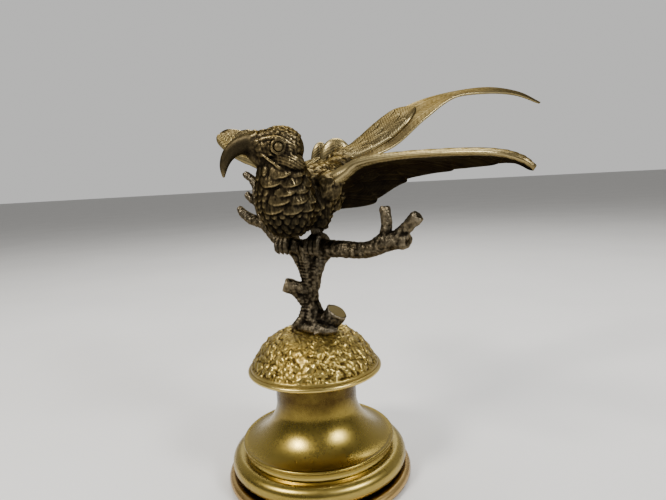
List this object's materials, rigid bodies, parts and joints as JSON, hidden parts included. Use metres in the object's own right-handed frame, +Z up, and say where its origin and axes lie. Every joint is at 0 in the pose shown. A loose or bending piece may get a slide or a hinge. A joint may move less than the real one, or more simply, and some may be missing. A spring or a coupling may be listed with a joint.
{
  "type": "hood ornament",
  "caption": "Cast bird with hooked beak, spread wings and long raised tail, perched on a lopped branch over a domed rocky cap on a stepped turned pedestal.",
  "frame": {"origin": "centre of the foot plate's flat underside, on the surface it rests on", "axes": "+Z up the pedestal's axis; the bird's breast faces -Y and its left wing is towards +X; the perch runs along X"},
  "size_m": [0.1679, 0.1721, 0.1717],
  "materials": {
    "flange_brass": "satin",
    "turned_brass": "satin",
    "cast_brass": "satin",
    "dark_bronze": "satin",
    "feather_bronze": "satin",
    "bark_bronze": "satin",
    "eye_bronze": "polished",
    "steel": "plain"
  },
  "bodies": {
    "root": {"foot_plate": "flange_brass", "torus_ring": "turned_brass", "waist_pedestal": "turned_brass", "mound_cap": "cast_brass", "tie_stud": "steel", "clamp_washer": "steel", "clamp_nut": "steel", "branch": "bark_bronze", "bird_body": "dark_bronze", "left_eye": "eye_bronze", "right_eye": "eye_bronze", "left_foot": "bark_bronze", "right_foot": "bark_bronze", "left_wing": "feather_bronze", "right_wing": "feather_bronze", "tail": "feather_bronze", "left_wing_pin": "steel", "right_wing_pin": "steel", "tail_pin": "steel"}
  },
  "joints": []
}
